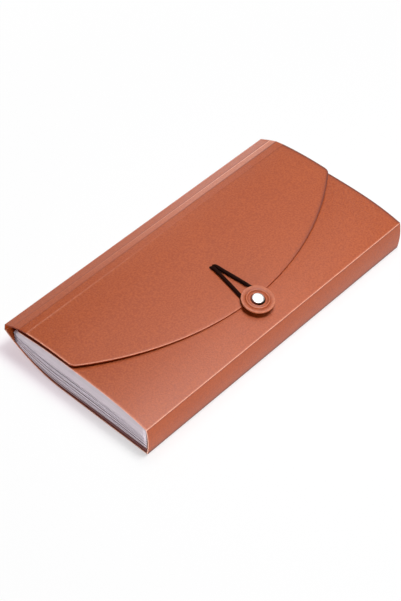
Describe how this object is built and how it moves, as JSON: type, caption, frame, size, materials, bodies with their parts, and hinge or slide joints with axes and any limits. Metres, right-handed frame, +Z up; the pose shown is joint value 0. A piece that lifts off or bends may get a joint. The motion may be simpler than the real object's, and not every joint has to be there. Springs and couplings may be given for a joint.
{
  "type": "expanding file folder",
  "caption": "Closed expanding file folder: folded plastic cover with a curved flap over stacked dividers and pleated gussets, held shut by an elastic loop round a riveted button.",
  "frame": {"origin": "on the table, under the middle of the closed folder", "axes": "+X along the folder's length, +Y from the spine to the pockets' mouth, +Z up from the back panel"},
  "size_m": [0.255, 0.133, 0.0356],
  "materials": {
    "cover_sheet": "matte",
    "frosted_sheet": "frosted",
    "nickel": "bright",
    "elastic": "braided"
  },
  "bodies": {
    "back": {"back_panel": "cover_sheet", "gusset_left_01": "frosted_sheet", "gusset_right_01": "frosted_sheet"},
    "sheet_01": {"divider_01": "frosted_sheet", "gusset_left_02": "frosted_sheet", "gusset_right_02": "frosted_sheet"},
    "sheet_02": {"divider_02": "frosted_sheet", "gusset_left_03": "frosted_sheet", "gusset_right_03": "frosted_sheet"},
    "sheet_03": {"divider_03": "frosted_sheet", "gusset_left_04": "frosted_sheet", "gusset_right_04": "frosted_sheet"},
    "sheet_04": {"divider_04": "frosted_sheet", "gusset_left_05": "frosted_sheet", "gusset_right_05": "frosted_sheet"},
    "sheet_05": {"divider_05": "frosted_sheet", "gusset_left_06": "frosted_sheet", "gusset_right_06": "frosted_sheet"},
    "sheet_06": {"divider_06": "frosted_sheet", "gusset_left_07": "frosted_sheet", "gusset_right_07": "frosted_sheet"},
    "sheet_07": {"divider_07": "frosted_sheet", "gusset_left_08": "frosted_sheet", "gusset_right_08": "frosted_sheet"},
    "sheet_08": {"divider_08": "frosted_sheet", "gusset_left_09": "frosted_sheet", "gusset_right_09": "frosted_sheet"},
    "sheet_09": {"divider_09": "frosted_sheet", "gusset_left_10": "frosted_sheet", "gusset_right_10": "frosted_sheet"},
    "sheet_10": {"divider_10": "frosted_sheet", "gusset_left_11": "frosted_sheet", "gusset_right_11": "frosted_sheet"},
    "sheet_11": {"divider_11": "frosted_sheet", "gusset_left_12": "frosted_sheet", "gusset_right_12": "frosted_sheet"},
    "sheet_12": {"divider_12": "frosted_sheet"},
    "front": {"front_panel": "cover_sheet", "button_spacer": "cover_sheet", "rivet_cap": "nickel", "rivet_base": "nickel", "gusset_left_13": "frosted_sheet", "gusset_right_13": "frosted_sheet"},
    "spine": {"spine_panel": "cover_sheet"},
    "flap": {"closing_flap": "cover_sheet", "flap_tip": "cover_sheet", "fold_strip": "cover_sheet", "cord_stop": "nickel", "elastic_loop": "elastic"},
    "button": {"button_disc": "cover_sheet"}
  },
  "joints": [
    {"name": "flap_hinge", "type": "hinge", "parent": "back", "child": "flap", "pos_m": [0, 0.0661, 0.0188], "axis": [-1, 0, 0], "range_deg": [0, 178], "deforming": ["fold_strip", "flap_tip", "elastic_loop"]},
    {"name": "sheet_01_hinge", "type": "hinge", "parent": "back", "child": "sheet_01", "pos_m": [0, -0.0651, 0.00194], "axis": [1, 0, 0], "range_deg": [0, 2.5], "deforming": ["gusset_left_01", "gusset_right_01"]},
    {"name": "sheet_02_hinge", "type": "hinge", "parent": "sheet_01", "child": "sheet_02", "pos_m": [0, -0.0651, 0.00309], "axis": [1, 0, 0], "range_deg": [0, 2.5], "deforming": ["gusset_left_02", "gusset_right_02"]},
    {"name": "sheet_03_hinge", "type": "hinge", "parent": "sheet_02", "child": "sheet_03", "pos_m": [0, -0.0651, 0.00423], "axis": [1, 0, 0], "range_deg": [0, 2.5], "deforming": ["gusset_left_03", "gusset_right_03"]},
    {"name": "sheet_04_hinge", "type": "hinge", "parent": "sheet_03", "child": "sheet_04", "pos_m": [0, -0.0651, 0.00538], "axis": [1, 0, 0], "range_deg": [0, 2.5], "deforming": ["gusset_left_04", "gusset_right_04"]},
    {"name": "sheet_05_hinge", "type": "hinge", "parent": "sheet_04", "child": "sheet_05", "pos_m": [0, -0.0651, 0.00652], "axis": [1, 0, 0], "range_deg": [0, 2.5], "deforming": ["gusset_left_05", "gusset_right_05"]},
    {"name": "sheet_06_hinge", "type": "hinge", "parent": "sheet_05", "child": "sheet_06", "pos_m": [0, -0.0651, 0.00766], "axis": [1, 0, 0], "range_deg": [0, 2.5], "deforming": ["gusset_left_06", "gusset_right_06"]},
    {"name": "sheet_07_hinge", "type": "hinge", "parent": "sheet_06", "child": "sheet_07", "pos_m": [0, -0.0651, 0.00881], "axis": [1, 0, 0], "range_deg": [0, 2.5], "deforming": ["gusset_left_07", "gusset_right_07"]},
    {"name": "sheet_08_hinge", "type": "hinge", "parent": "sheet_07", "child": "sheet_08", "pos_m": [0, -0.0651, 0.00995], "axis": [1, 0, 0], "range_deg": [0, 2.5], "deforming": ["gusset_left_08", "gusset_right_08"]},
    {"name": "sheet_09_hinge", "type": "hinge", "parent": "sheet_08", "child": "sheet_09", "pos_m": [0, -0.0651, 0.0111], "axis": [1, 0, 0], "range_deg": [0, 2.5], "deforming": ["gusset_left_09", "gusset_right_09"]},
    {"name": "sheet_10_hinge", "type": "hinge", "parent": "sheet_09", "child": "sheet_10", "pos_m": [0, -0.0651, 0.01224], "axis": [1, 0, 0], "range_deg": [0, 2.5], "deforming": ["gusset_left_10", "gusset_right_10"]},
    {"name": "sheet_11_hinge", "type": "hinge", "parent": "sheet_10", "child": "sheet_11", "pos_m": [0, -0.0651, 0.01338], "axis": [1, 0, 0], "range_deg": [0, 2.5], "deforming": ["gusset_left_11", "gusset_right_11"]},
    {"name": "sheet_12_hinge", "type": "hinge", "parent": "sheet_11", "child": "sheet_12", "pos_m": [0, -0.0651, 0.01453], "axis": [1, 0, 0], "range_deg": [0, 2.5], "deforming": ["gusset_left_12", "gusset_right_12"]},
    {"name": "front_hinge", "type": "hinge", "parent": "sheet_12", "child": "front", "pos_m": [0, -0.0649, 0.0236], "axis": [1, 0, 0], "range_deg": [0, 2.5], "deforming": ["gusset_left_13", "gusset_right_13"]},
    {"name": "spine_hinge", "type": "hinge", "parent": "back", "child": "spine", "pos_m": [0, -0.0653, 0], "axis": [1, 0, 0], "range_deg": [0, 21.3]},
    {"name": "button_spin", "type": "hinge", "parent": "front", "child": "button", "pos_m": [-0.0024, -0.0459, 0.02803], "axis": [0, -0.1356, 0.9908], "continuous": true}
  ],
  "couplings": [
    {"joint": "sheet_01_hinge", "follows": "flap_hinge", "ratio": 0.014044},
    {"joint": "sheet_02_hinge", "follows": "flap_hinge", "ratio": 0.014044},
    {"joint": "sheet_03_hinge", "follows": "flap_hinge", "ratio": 0.014044},
    {"joint": "sheet_04_hinge", "follows": "flap_hinge", "ratio": 0.014044},
    {"joint": "sheet_05_hinge", "follows": "flap_hinge", "ratio": 0.014044},
    {"joint": "sheet_06_hinge", "follows": "flap_hinge", "ratio": 0.014044},
    {"joint": "sheet_07_hinge", "follows": "flap_hinge", "ratio": 0.014044},
    {"joint": "sheet_08_hinge", "follows": "flap_hinge", "ratio": 0.014044},
    {"joint": "sheet_09_hinge", "follows": "flap_hinge", "ratio": 0.014044},
    {"joint": "sheet_10_hinge", "follows": "flap_hinge", "ratio": 0.014044},
    {"joint": "sheet_11_hinge", "follows": "flap_hinge", "ratio": 0.014044},
    {"joint": "sheet_12_hinge", "follows": "flap_hinge", "ratio": 0.014044},
    {"joint": "front_hinge", "follows": "flap_hinge", "ratio": 0.014044},
    {"joint": "spine_hinge", "follows": "flap_hinge", "ratio": 0.11966}
  ]
}
